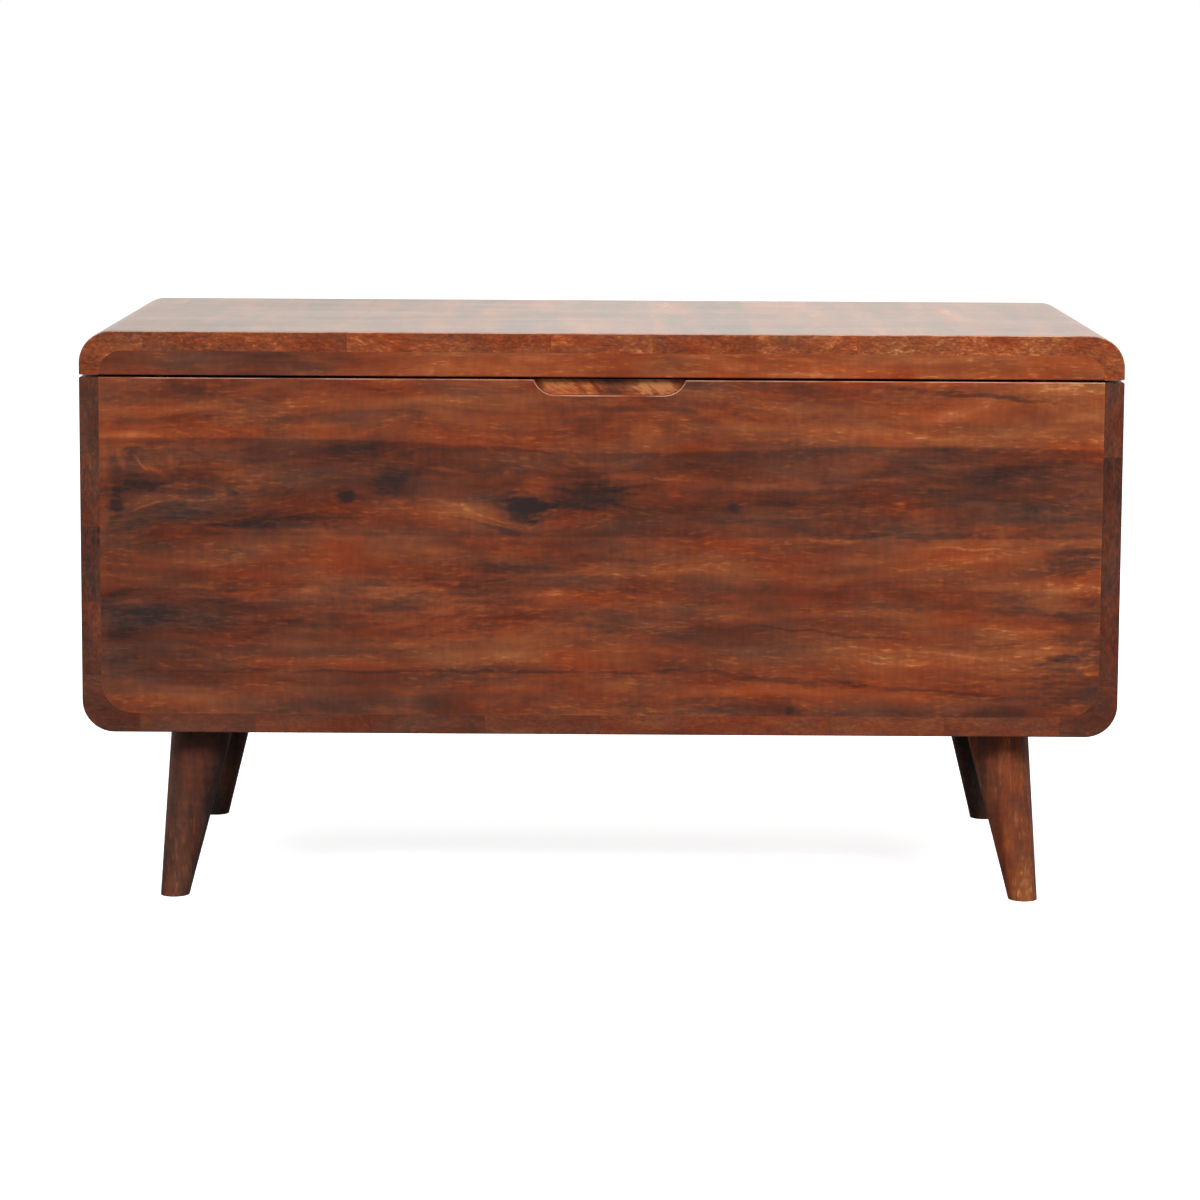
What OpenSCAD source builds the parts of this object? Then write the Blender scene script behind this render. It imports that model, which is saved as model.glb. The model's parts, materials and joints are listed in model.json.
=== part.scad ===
// Blanket chest: a rounded case on four splayed legs, with a lid hinged at the back.
// X runs across the front, Y from front to back and Z up. The origin is on the floor, under the middle.

/* [Overall] */
// Width of the chest across the front
chest_width = 900; // [780:10:1200]
// Depth of the chest from front to back, without the hinges
chest_depth = 400; // [360:5:520]
// Height from the floor to the top of the lid
chest_height = 500; // [480:5:620]
// Radius of the four outer corners that the front view shows
corner_radius = 28; // [20:1:34]

/* [Boards] */
// Thickness of every board
board = 17; // [15:0.5:20]
// Radius of the eased edges on the outside
eased_edge = 1.2; // [0.6:0.1:1.8]
// Radius inside the lower corners of the case
case_inner_radius = 28; // [16:1:32]
// Width that a lower corner block takes along the bottom, and its height up the side
case_block_run = 50; // [50:1:64]
// Number of boards in each side of the case
side_board_count = 4; // [2:1:4]
// Number of boards in the bottom
bottom_board_count = 8; // [5:1:8]
// Height of the upper plank of the front
front_upper_plank = 57; // [40:1:70]
// Height of the middle plank of the front
front_middle_plank = 80; // [60:1:110]
// Height of the upper plank of the back
back_upper_plank = 90; // [60:1:110]
// Height of the middle plank of the back
back_middle_plank = 104; // [60:1:120]

/* [Lid] */
// Height of the lid at its edge
lid_height = 38; // [37:0.5:44]
// Open line between the case and the lid
lid_gap = 2; // [1.6:0.1:3]
// Radius inside the corners of the lid
lid_inner_radius = 20; // [12:1:20]
// Width that a lid corner block takes along the top
lid_block_run = 55; // [52:1:70]
// Number of boards in the top of the lid
lid_board_count = 9; // [6:1:9]
// Angle at which the stay stops the lid
lid_stop_angle = 95; // [70:1:100]

/* [Finger pull] */
// Width of the finger pull at the top edge of the front
pull_width = 130; // [90:1:180]
// Height of the finger pull
pull_height = 13; // [9:0.5:18]
// Depth of the finger pull into the front
pull_depth = 8; // [6:0.5:12]
// Radius of the ends of the finger pull
pull_radius = 20; // [18:1:30]
// Distance of the finger pull to the right of the middle
pull_offset = 7; // [0:1:20]

/* [Legs] */
// Height of the legs under the case
leg_height = 150; // [110:5:165]
// Diameter of a leg at the case
leg_top_diameter = 55; // [40:1:58]
// Diameter of a leg at the floor
leg_foot_diameter = 25; // [20:1:34]
// Distance from the end of the case to the middle of a leg's top
leg_inset_side = 99; // [90:1:140]
// Distance from the front or back of the case to the middle of a leg's top
leg_inset_front = 55; // [46:1:90]
// Distance that a foot stands out from its leg's top along X
leg_splay_side = 23; // [0:1:45]
// Distance that a foot stands out from its leg's top along Y
leg_splay_front = 27; // [0:1:28]
// Diameter of the bolt that holds a leg
leg_bolt_diameter = 8; // [6:1:10]
// Length of the leg bolt inside the leg
leg_bolt_depth = 38; // [25:1:50]

/* [Hinges] */
// Length of a hinge along the back edge
hinge_length = 64; // [50:1:90]
// Distance from the end of the case to the middle of a hinge
hinge_inset = 190; // [110:5:260]
// Thickness of a hinge leaf
hinge_leaf = 0.95; // [0.6:0.05:0.95]
// Diameter of the hinge barrel
hinge_barrel = 5.2; // [4.6:0.1:6]
// Diameter of the hinge pin
hinge_pin = 3.2; // [2.4:0.1:3.4]
// Diameter of the wood screws
screw_diameter = 3; // [2.4:0.1:3.4]
// Diameter of the heads of the wood screws
screw_head = 6; // [5:0.1:6.4]
// Length of the wood screws in the hinges
hinge_screw_length = 16; // [10:0.5:18]

/* [Lid stay] */
// Clearance between the closed stay's lower end and the bottom
stay_end_clearance = 42; // [30:1:80]
// Angle below the level at which the stud sits, seen from the hinge axis
stay_stud_angle = 45; // [40:1:55]
// Distance of the stay's upper pivot under the lid boards
stay_pivot_drop = 11; // [10:0.5:14]
// Width of the slotted arm
stay_arm_width = 16; // [14:0.5:18]
// Thickness of the slotted arm
stay_arm_thickness = 2.5; // [2:0.1:3]
// Diameter of the stud that runs in the slot
stay_stud_diameter = 6; // [5:0.1:6.5]
// Diameter of the rivet at the stay's upper pivot
stay_rivet_diameter = 5; // [4:0.1:5.5]
// Distance from the side board to the slotted arm
stay_standoff = 21.5; // [21:0.5:26]
// Thickness of the stay's plates
stay_plate = 2; // [1.5:0.1:2.5]

/* [Hidden] */
// Play of a turning pin in its bore, on the radius
pin_play = 0.08;
// Play between pieces that turn or slide past each other
side_play = 0.2;
// Play of the stud across its slot, on each side
slot_play = 0.2;
// Height of the gap that the bumpers leave under the closed lid
bumper_play = 0.2;
bumper_diameter = 10;
bumper_inset = 70;
knuckle_count = 5;
hinge_screw_spacing = 22;
hinge_pin_head = 1;
screw_tip = 0.75;
screw_recess_width = 0.8;
screw_recess_reach = 3.4;
screw_recess_depth = 1.2;
stay_screw_length = 12;
leg_nut_wall = 1.2;
leg_nut_length = 12;
leg_nut_flange = 22;
leg_nut_flange_thickness = 1.5;
leg_bolt_play = 0.2;
// Length by which cutters pass through what they cut
cut = 1;
$fn = 64;

half_width = chest_width / 2;
half_depth = chest_depth / 2;
inner_x = half_width - board;
inner_y = half_depth - board;
case_base = leg_height;
case_floor = case_base + board;
lid_base = chest_height - lid_height;
lid_ceiling = chest_height - board;
case_top = lid_base - lid_gap;

side_board_base = case_base + case_block_run;
side_board_height = (case_top - side_board_base) / side_board_count;
bottom_board_width = (chest_width - 2 * case_block_run) / bottom_board_count;
lid_board_width = (chest_width - 2 * lid_block_run) / lid_board_count;
front_middle_top = case_top - front_upper_plank;
front_lower_top = front_middle_top - front_middle_plank;
back_middle_top = case_top - back_upper_plank;
back_lower_top = back_middle_top - back_middle_plank;
pull_centre = pull_width / 2 - sqrt(pow(pull_radius, 2) - pow(pull_radius - pull_height, 2));

leg_top = [half_width - leg_inset_side, half_depth - leg_inset_front];
leg_lean = norm([leg_splay_side, leg_splay_front]);
leg_length = norm([leg_lean, leg_height]);
leg_tilt = atan2(leg_lean, leg_height);
leg_turn = atan2(leg_splay_front, leg_splay_side);
leg_taper = (leg_top_diameter - leg_foot_diameter) / 2 / leg_length;
leg_bolt_top = case_floor - 2 * leg_nut_flange_thickness;

hinge_z = (case_top + lid_base) / 2;
hinge_y = half_depth + hinge_barrel / 2 + 2 * side_play;
hinge_x = half_width - hinge_inset;
hinge_screw_y = half_depth - board / 2;
knuckle_length = hinge_length / knuckle_count;

stay_slot_width = stay_stud_diameter + 2 * slot_play;
stay_slot_end_play = 1;
stay_lift = lid_ceiling - stay_pivot_drop - hinge_z;
// How far the closed arm's end falls below the hinge axis, as a share of the stay's radius
stay_fall_share = sin(stay_stud_angle + lid_stop_angle / 2) + sin(lid_stop_angle / 2);
stay_fall = hinge_z + stay_lift * (1 - cos(lid_stop_angle / 2)) - case_floor - stay_end_clearance
    - stay_slot_end_play - stay_slot_width / 2 - stay_arm_width / 2;
// Distance from the hinge axis to both pivots of the stay
stay_radius = stay_fall / stay_fall_share;
stay_pivot = [hinge_y - sqrt(pow(stay_radius, 2) - pow(stay_lift, 2)), hinge_z + stay_lift];
stay_stud = [hinge_y - stay_radius * cos(stay_stud_angle), hinge_z - stay_radius * sin(stay_stud_angle)];
stay_rest_angle = stay_stud_angle + asin(stay_lift / stay_radius);
stay_rest_reach = 2 * stay_radius * sin(stay_rest_angle / 2);
stay_stop_reach = 2 * stay_radius * sin((stay_rest_angle + lid_stop_angle) / 2);
stay_direction = atan2(stay_stud[1] - stay_pivot[1], stay_stud[0] - stay_pivot[0]);
stay_arm_outer = inner_x - stay_standoff;
stay_arm_inner = stay_arm_outer - stay_arm_thickness;
stay_flange_outer = stay_arm_inner - side_play;
stay_bracket_width = 12.5;
stay_bracket_length = 44;
stay_bracket_screw_spacing = 28;
stay_side_plate_size = [20, 44];
stay_side_plate_radius = 3;
stay_side_screw_spacing = 30;
stay_post_diameter = 10;
stay_cap = 3;
stay_cap_diameter = 12;
stay_rivet_head = 1.5;
stay_rivet_head_diameter = 9;

WOOD_RED = [0.45, 0.22, 0.13];
WOOD_DARK = [0.3, 0.14, 0.1];
WOOD_LIGHT = [0.55, 0.28, 0.15];
STEEL = [0.72, 0.72, 0.72];
BRASS = [0.74, 0.6, 0.33];
RUBBER = [0.12, 0.11, 0.1];

SIDE_NODES = [for (side = ["left", "right"], i = [1 : side_board_count]) str(side, "_side_board_", i)];
BOTTOM_NODES = [for (i = [1 : bottom_board_count]) str("bottom_board_", i)];
LID_NODES = [for (i = [1 : lid_board_count]) str("lid_board_", i)];
LEG_NODES = [for (end = ["front", "back"], side = ["left", "right"]) str("leg_", end, "_", side)];

// Flat shape left between a corner and the circle that rounds it
module corner_waste(r) {
    difference() {
        translate([-cut, -cut]) square(r + cut);
        translate([r, r]) circle(r);
    }
}

// Rectangle from the origin, with a radius for each corner from lower left, anticlockwise
module rounded_plate(size, radii) {
    difference() {
        square(size);
        if (radii[0] > 0) corner_waste(radii[0]);
        if (radii[1] > 0) translate([size[0], 0]) mirror([1, 0]) corner_waste(radii[1]);
        if (radii[2] > 0) translate(size) rotate(180) corner_waste(radii[2]);
        if (radii[3] > 0) translate([0, size[1]]) mirror([0, 1]) corner_waste(radii[3]);
    }
}

// Extrusion of an outline drawn in X and Z, from y_low to y_high
module along_y(y_low, y_high) {
    translate([0, y_high, 0]) rotate([90, 0, 0]) linear_extrude(y_high - y_low) children();
}

// Extrusion of an outline drawn in Y and Z, from x_low to x_high
module along_x(x_low, x_high) {
    translate([x_low, 0, 0]) rotate([90, 0, 90]) linear_extrude(x_high - x_low) children();
}

// Draws its children on the left or the right of the middle
module on_side(side) {
    if (side == "left") mirror([1, 0, 0]) children();
    if (side == "right") children();
}

// Countersunk wood screw, its head flush with the origin and its point towards -Z, before its recess
module screw_blank(length) {
    sink = (screw_head - screw_diameter) / 2;
    point = screw_diameter;
    translate([0, 0, -sink]) cylinder(h = sink, d1 = screw_diameter, d2 = screw_head);
    translate([0, 0, -length + point]) cylinder(h = length - point - sink, d = screw_diameter);
    translate([0, 0, -length]) cylinder(h = point, d1 = screw_tip, d2 = screw_diameter);
}

// Cross recess in the head of a wood screw
module screw_recess() {
    for (turn = [0, 90]) rotate(turn)
        translate([-screw_recess_reach / 2, -screw_recess_width / 2, -screw_recess_depth])
            cube([screw_recess_reach, screw_recess_width, screw_recess_depth + cut]);
}

// Wood screw, or the plain hole for it
module wood_screw(length, is_hole) {
    difference() {
        screw_blank(length);
        if (!is_hole) screw_recess();
    }
}

// Rounded corner block with its outer corner at the origin, reaching towards -X and +Z
module corner_block(run_x, run_z, inner_radius, end_easing) {
    r = corner_radius;
    end_radii = [0, 0, end_easing, 0];
    difference() {
        union() {
            translate([-r, 0, r]) rotate([-90, 0, 0]) rotate_extrude(angle = 90)
                translate([0, -half_depth]) rounded_plate([r, chest_depth], [0, eased_edge, eased_edge, 0]);
            intersection() {
                translate([-run_x, -half_depth, r]) linear_extrude(run_z - r)
                    rounded_plate([run_x, chest_depth], [0, eased_edge, eased_edge, 0]);
                along_y(-half_depth, half_depth) translate([-run_x, 0])
                    rounded_plate([run_x, run_z], end_radii);
            }
            along_x(-run_x, -r) translate([-half_depth, 0])
                rounded_plate([chest_depth, r], [eased_edge, eased_edge, 0, 0]);
        }
        along_y(-half_depth - cut, half_depth + cut) translate([-board, board]) mirror([1, 0])
            rounded_plate([run_x, run_z], [inner_radius, 0, 0, 0]);
    }
}

module case_corner(side) {
    color(WOOD_DARK) on_side(side) translate([half_width, 0, case_base])
        corner_block(case_block_run, case_block_run, case_inner_radius, 0);
}

// Side board of the case, counted from the bottom; the top one has eased upper edges
module side_board(side, i) {
    low = side_board_base + (i - 1) * side_board_height;
    top_easing = i == side_board_count ? eased_edge : 0;
    color(i % 2 == 0 ? WOOD_DARK : WOOD_RED) difference() {
        on_side(side) intersection() {
            translate([inner_x, -half_depth, low]) linear_extrude(side_board_height)
                rounded_plate([board, chest_depth], [0, eased_edge, eased_edge, 0]);
            along_y(-half_depth, half_depth) translate([inner_x, low])
                rounded_plate([board, side_board_height], [0, 0, top_easing, top_easing]);
        }
        if (side == "right") stay_side_screws(true);
    }
}

module bottom_board(i) {
    low = -half_width + case_block_run + (i - 1) * bottom_board_width;
    color(i % 2 == 0 ? WOOD_DARK : WOOD_RED) difference() {
        along_x(low, low + bottom_board_width) translate([-half_depth, case_base])
            rounded_plate([chest_depth, board], [eased_edge, eased_edge, 0, 0]);
        leg_holes();
    }
}

// Plank of the front or back, cut from the panel's outline between two heights
module inset_plank(y_low, low, high, top_easing) {
    intersection() {
        along_y(y_low, y_low + board) intersection() {
            translate([-inner_x, case_floor]) rounded_plate([2 * inner_x, case_top - case_floor],
                [case_inner_radius, case_inner_radius, 0, 0]);
            translate([-inner_x, low]) square([2 * inner_x, high - low]);
        }
        along_x(-inner_x, inner_x) translate([y_low, low])
            rounded_plate([board, high - low], [0, 0, top_easing, top_easing]);
    }
}

// Recess of the finger pull, whose round ends run out at the top edge of the front
module finger_pull() {
    reach = pull_centre + pull_radius;
    along_y(-half_depth - cut, -half_depth + pull_depth)
        translate([pull_offset - reach, case_top - pull_height])
            rounded_plate([2 * reach, pull_height + cut], [pull_radius, pull_radius, 0, 0]);
}

// Bevel that eases the front edge of the finger pull
module finger_pull_bevel() {
    low = case_top - pull_height;
    for (i = [-1, 1])
        translate([pull_offset + i * pull_centre, -half_depth, low + pull_radius]) rotate([-90, 0, 0])
            cylinder(h = eased_edge, r1 = pull_radius + eased_edge, r2 = pull_radius);
    along_x(pull_offset - pull_centre, pull_offset + pull_centre) polygon([
        [-half_depth, low - eased_edge],
        [-half_depth + eased_edge, low],
        [-half_depth, low + pull_height]
    ]);
}

module front_plank_upper() {
    color(WOOD_LIGHT) difference() {
        inset_plank(-half_depth, front_middle_top, case_top, eased_edge);
        finger_pull();
        finger_pull_bevel();
    }
}

module front_plank_middle() {
    color(WOOD_DARK) inset_plank(-half_depth, front_lower_top, front_middle_top, 0);
}

module front_plank_lower() {
    color(WOOD_RED) inset_plank(-half_depth, case_floor, front_lower_top, 0);
}

module back_plank_upper() {
    color(WOOD_RED) difference() {
        inset_plank(inner_y, back_middle_top, case_top, eased_edge);
        hinge_case_screws(true);
    }
}

module back_plank_middle() {
    color(WOOD_DARK) inset_plank(inner_y, back_lower_top, back_middle_top, 0);
}

module back_plank_lower() {
    color(WOOD_RED) inset_plank(inner_y, case_floor, back_lower_top, 0);
}

module lid_corner(side) {
    color(WOOD_RED) difference() {
        on_side(side) translate([half_width, 0, chest_height]) mirror([0, 0, 1])
            corner_block(lid_block_run, lid_height, lid_inner_radius, eased_edge);
        if (side == "right") stay_lid_screws(true);
    }
}

module lid_board(i) {
    low = -half_width + lid_block_run + (i - 1) * lid_board_width;
    color(i % 2 == 0 ? WOOD_RED : WOOD_LIGHT)
        along_x(low, low + lid_board_width) translate([-half_depth, lid_ceiling])
            rounded_plate([chest_depth, board], [0, 0, eased_edge, eased_edge]);
}

// Rail under the front or back edge of the lid boards, rounded to fit inside the corner blocks
module lid_rail(y_low) {
    intersection() {
        along_y(y_low, y_low + board) translate([-inner_x, lid_base])
            rounded_plate([2 * inner_x, lid_ceiling - lid_base], [0, 0, lid_inner_radius, lid_inner_radius]);
        along_x(-inner_x, inner_x) translate([y_low, lid_base])
            rounded_plate([board, lid_ceiling - lid_base], [eased_edge, eased_edge, 0, 0]);
    }
}

module lid_front_rail() {
    color(WOOD_RED) lid_rail(-half_depth);
}

module lid_back_rail() {
    color(WOOD_RED) difference() {
        lid_rail(inner_y);
        hinge_lid_screws(true);
    }
}

// Tapered leg that leans towards +X and +Y, cut level at the floor and at the case
module leg_blank() {
    spare = leg_top_diameter / 2;
    intersection() {
        translate([leg_top[0], leg_top[1], leg_height]) rotate([0, 0, leg_turn]) rotate([0, -leg_tilt, 0])
            translate([0, 0, -leg_length - spare])
                cylinder(h = leg_length + 2 * spare, d1 = leg_foot_diameter - 2 * spare * leg_taper,
                    d2 = leg_top_diameter + 2 * spare * leg_taper);
        cube([chest_width, chest_depth, leg_height]);
    }
}

module on_end(end) {
    if (end == "front") mirror([0, 1, 0]) children();
    if (end == "back") children();
}

module leg(end, side) {
    color(WOOD_DARK) on_side(side) on_end(end) difference() {
        leg_blank();
        translate([leg_top[0], leg_top[1], leg_height - leg_bolt_depth])
            cylinder(h = leg_bolt_depth + cut, d = leg_bolt_diameter);
    }
}

// Draws its children above each of the four legs
module at_legs() {
    for (x = [-1, 1], y = [-1, 1]) translate([x * leg_top[0], y * leg_top[1], 0]) children();
}

module leg_bolts() {
    color(STEEL) at_legs() translate([0, 0, leg_height - leg_bolt_depth])
        cylinder(h = leg_bolt_top - leg_height + leg_bolt_depth, d = leg_bolt_diameter);
}

// Tee nut let in from inside the case, its flange flush with the bottom's upper face
module leg_nut_blank() {
    barrel = leg_bolt_diameter + 2 * leg_nut_wall;
    translate([0, 0, case_floor - leg_nut_length]) cylinder(h = leg_nut_length, d = barrel);
    translate([0, 0, case_floor - leg_nut_flange_thickness])
        cylinder(h = leg_nut_flange_thickness, d = leg_nut_flange);
}

module leg_nuts() {
    color(STEEL) difference() {
        at_legs() leg_nut_blank();
        at_legs() translate([0, 0, case_base]) cylinder(h = board + cut, d = leg_bolt_diameter);
    }
}

// Holes in the bottom for the leg bolts and their nuts
module leg_holes() {
    at_legs() translate([0, 0, case_base - cut])
        cylinder(h = board + 2 * cut, d = leg_bolt_diameter + 2 * leg_bolt_play);
    at_legs() leg_nut_blank();
}

// Knuckles of one leaf, from the first to the last in steps of two
module hinge_knuckles(first, last, play, leaf_z) {
    for (i = [first : 2 : last]) {
        low = -hinge_length / 2 + (i - 1) * knuckle_length + play;
        high = low + knuckle_length - 2 * play;
        translate([low, hinge_y, hinge_z]) rotate([0, 90, 0]) cylinder(h = high - low, d = hinge_barrel);
        translate([low, half_depth - cut, leaf_z]) cube([high - low, hinge_y - half_depth + cut, hinge_leaf]);
    }
}

// Hinge leaf with its knuckles and screw holes, centred along X
module hinge_leaf_blank(leaf_z, first, last, play, bore) {
    difference() {
        union() {
            translate([-hinge_length / 2, inner_y + side_play, leaf_z])
                cube([hinge_length, board - side_play, hinge_leaf]);
            hinge_knuckles(first, last, play, leaf_z);
        }
        translate([-hinge_length / 2 - cut, hinge_y, hinge_z]) rotate([0, 90, 0])
            cylinder(h = hinge_length + 2 * cut, d = bore);
    }
}

// Draws its children at the middle of one hinge, or of both
module at_hinge(side) {
    if (side != "right") translate([-hinge_x, 0, 0]) children();
    if (side != "left") translate([hinge_x, 0, 0]) children();
}

module hinge_screws(direction, is_hole) {
    face_z = direction > 0 ? lid_base - hinge_leaf : case_top + hinge_leaf;
    for (i = [-1 : 1]) translate([i * hinge_screw_spacing, hinge_screw_y, face_z])
        rotate([direction > 0 ? 180 : 0, 0, 0]) wood_screw(hinge_screw_length, is_hole);
}

module hinge_case_screws(is_hole = false) {
    color(BRASS) at_hinge("both") hinge_screws(-1, is_hole);
}

module hinge_lid_screws(is_hole = false) {
    color(BRASS) at_hinge("both") hinge_screws(1, is_hole);
}

module hinge_case_leaf(side) {
    color(BRASS) difference() {
        at_hinge(side) hinge_leaf_blank(case_top, 1, knuckle_count, 0, hinge_pin);
        hinge_case_screws(true);
    }
}

module hinge_lid_leaf(side) {
    color(BRASS) difference() {
        at_hinge(side) hinge_leaf_blank(lid_base - hinge_leaf, 2, knuckle_count - 1, side_play,
            hinge_pin + 2 * pin_play);
        hinge_lid_screws(true);
    }
}

module hinge_pin(side) {
    head = hinge_pin_head;
    color(BRASS) at_hinge(side) translate([-hinge_length / 2, hinge_y, hinge_z]) rotate([0, 90, 0]) {
        cylinder(h = hinge_length, d = hinge_pin);
        translate([0, 0, -head]) cylinder(h = head, d1 = hinge_pin, d2 = hinge_barrel);
        translate([0, 0, hinge_length]) cylinder(h = head, d1 = hinge_barrel, d2 = hinge_pin);
    }
}

// Strip with a round end at the origin, running along X
module tab_outline(length, width) {
    circle(d = width);
    translate([0, -width / 2]) square([length, width]);
}

// Strip with two round ends, from the origin along X
module link_outline(length, width) {
    tab_outline(length, width);
    translate([length, 0]) circle(d = width);
}

// Slotted arm at rest, from its pivot on the lid past the stud on the side of the case
module stay_arm() {
    slot_start = stay_rest_reach - stay_slot_end_play;
    slot_run = stay_stop_reach - stay_rest_reach + 2 * stay_slot_end_play;
    length = slot_start + slot_run + stay_slot_width / 2;
    color(STEEL) along_x(stay_arm_inner, stay_arm_outer)
        translate(stay_pivot) rotate(stay_direction) difference() {
            link_outline(length, stay_arm_width);
            circle(d = stay_rivet_diameter + 2 * pin_play);
            translate([slot_start, 0]) link_outline(slot_run, stay_slot_width);
        }
}

// Pin along X through a pivot that is given in Y and Z
module stay_pin(centre, x_low, x_high, diameter) {
    translate([x_low, centre[0], centre[1]]) rotate([0, 90, 0]) cylinder(h = x_high - x_low, d = diameter);
}

// Plate on the right side of the case, with the shouldered post and stud that carry the arm
module stay_side_plate() {
    color(STEEL) difference() {
        union() {
            along_x(inner_x - stay_plate, inner_x) translate(stay_stud - stay_side_plate_size / 2)
                rounded_plate(stay_side_plate_size, [for (i = [1 : 4]) stay_side_plate_radius]);
            stay_pin(stay_stud, stay_arm_outer + side_play, inner_x - stay_plate, stay_post_diameter);
            stay_pin(stay_stud, stay_flange_outer - stay_cap, stay_arm_outer + side_play, stay_stud_diameter);
        }
        stay_side_screws(true);
    }
}

module stay_cap_nut() {
    color(STEEL) difference() {
        stay_pin(stay_stud, stay_flange_outer - stay_cap, stay_flange_outer, stay_cap_diameter);
        stay_pin(stay_stud, stay_flange_outer - stay_cap - cut, stay_flange_outer + cut, stay_stud_diameter);
    }
}

// Angle bracket under the lid, whose flange hangs beside the arm and carries the rivet
module stay_lid_bracket() {
    flange_x = stay_flange_outer - stay_plate;
    color(STEEL) difference() {
        union() {
            translate([stay_flange_outer - stay_bracket_width, stay_pivot[0] - stay_bracket_length / 2,
                lid_ceiling - stay_plate]) cube([stay_bracket_width, stay_bracket_length, stay_plate]);
            along_x(flange_x, stay_flange_outer) translate(stay_pivot) rotate(90)
                tab_outline(stay_pivot_drop, stay_arm_width);
        }
        stay_pin(stay_pivot, flange_x - cut, stay_flange_outer + cut, stay_rivet_diameter);
        stay_lid_screws(true);
    }
}

module stay_rivet() {
    inner_head = stay_flange_outer - stay_plate;
    outer_head = stay_arm_outer + side_play;
    color(STEEL) {
        stay_pin(stay_pivot, inner_head - stay_rivet_head, inner_head, stay_rivet_head_diameter);
        stay_pin(stay_pivot, inner_head, outer_head, stay_rivet_diameter);
        stay_pin(stay_pivot, outer_head, outer_head + stay_rivet_head, stay_rivet_head_diameter);
    }
}

module stay_side_screws(is_hole = false) {
    color(STEEL) for (i = [-1, 1])
        translate([inner_x - stay_plate, stay_stud[0], stay_stud[1] + i * stay_side_screw_spacing / 2])
            rotate([0, -90, 0]) wood_screw(stay_screw_length, is_hole);
}

module stay_lid_screws(is_hole = false) {
    x = stay_flange_outer - (stay_bracket_width + stay_plate) / 2;
    color(STEEL) for (i = [-1, 1])
        translate([x, stay_pivot[0] + i * stay_bracket_screw_spacing / 2, lid_ceiling - stay_plate])
            rotate([180, 0, 0]) wood_screw(stay_screw_length, is_hole);
}

module lid_bumpers() {
    color(RUBBER) for (x = [-1, 1])
        translate([x * (half_width - bumper_inset), -half_depth + board / 2, case_top])
            cylinder(h = lid_gap - bumper_play, d = bumper_diameter);
}

for (side = ["left", "right"]) {
    case_corner(side);
    lid_corner(side);
    hinge_case_leaf(side);
    hinge_lid_leaf(side);
    hinge_pin(side);
    for (i = [1 : side_board_count])
        side_board(side, i);
    for (end = ["front", "back"])
        leg(end, side);
}
for (i = [1 : bottom_board_count])
    bottom_board(i);
for (i = [1 : lid_board_count])
    lid_board(i);
front_plank_upper();
front_plank_middle();
front_plank_lower();
back_plank_upper();
back_plank_middle();
back_plank_lower();
lid_front_rail();
lid_back_rail();
leg_bolts();
leg_nuts();
hinge_case_screws();
hinge_lid_screws();
stay_side_plate();
stay_arm();
stay_lid_bracket();
stay_rivet();
stay_cap_nut();
stay_side_screws();
stay_lid_screws();
lid_bumpers();
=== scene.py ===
"""Blanket chest: its studio, camera and procedural finishes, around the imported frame."""
import json
import math
from collections import namedtuple

import bpy
from mathutils import Matrix, Vector


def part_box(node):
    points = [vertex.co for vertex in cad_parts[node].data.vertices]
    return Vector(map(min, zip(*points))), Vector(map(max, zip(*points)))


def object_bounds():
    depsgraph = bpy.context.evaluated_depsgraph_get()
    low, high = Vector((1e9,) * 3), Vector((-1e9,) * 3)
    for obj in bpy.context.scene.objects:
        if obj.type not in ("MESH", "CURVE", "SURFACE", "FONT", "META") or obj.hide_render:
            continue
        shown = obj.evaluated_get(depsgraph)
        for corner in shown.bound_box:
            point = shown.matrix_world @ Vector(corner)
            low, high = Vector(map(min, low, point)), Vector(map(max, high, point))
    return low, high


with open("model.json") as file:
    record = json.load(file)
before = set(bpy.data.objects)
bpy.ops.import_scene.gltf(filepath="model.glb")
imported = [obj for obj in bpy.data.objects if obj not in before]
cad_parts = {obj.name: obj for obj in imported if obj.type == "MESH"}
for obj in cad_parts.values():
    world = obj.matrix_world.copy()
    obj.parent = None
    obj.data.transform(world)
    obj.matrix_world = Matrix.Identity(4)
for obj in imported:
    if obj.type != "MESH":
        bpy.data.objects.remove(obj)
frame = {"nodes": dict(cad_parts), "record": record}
cad_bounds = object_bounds()
NODES = frame["nodes"]
PULL_BOX = next(opening["box_m"] for opening in frame["record"]["physics"]["openings"]
                if opening["name"] == "finger_pull")
MM = 1000
CHEST_WIDTH = (cad_bounds[1].x - cad_bounds[0].x) * MM
HALF_DEPTH = -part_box("front_plank_upper")[0].y * MM

# Camera, fitted to the outline of the chest in the photograph
CAMERA_PLACE = Vector((0.0023, -3.3662, 0.7562))
CAMERA_YAW = math.radians(-0.059)
CAMERA_PITCH = math.radians(6.896)
CAMERA_ROLL = math.radians(0.318)
CAMERA_LENS = 110.88
CAMERA_SHIFT = -0.1
CAMERA_SIGHT = 200

# Studio. The azimuth of a lamp turns from the front towards the right of the chest.
FLOOR_REACH = 40
FLOOR_ALBEDO = 0.22
FLOOR_GLOW = 0.8
# Where reflections turn white behind the chest: place in millimetres, and direction
WHITE_FLOOR_STEP = (1500.0, 3500.0)
WHITE_WALL_STEP = (-0.4, 0.2)
AMBIENT_LEVEL = 0.17
AMBIENT_OVERHEAD = 0.36
WHITE = (1.0, 1.0, 1.0, 1.0)
WARM_WALL = (1.0, 0.965, 0.885, 1.0)
Lamp = namedtuple("Lamp", "name azimuth elevation distance size level")
LAMPS = [
    Lamp("key_right", 36, 32, 4.0, 1.0, 0.46),
    Lamp("key_left", -38, 32, 4.0, 1.0, 0.38),
    Lamp("overhead", 0, 78, 3.2, 2.6, 0.26),
    Lamp("back", 165, 35, 4.0, 2.4, 0.12),
]

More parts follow.
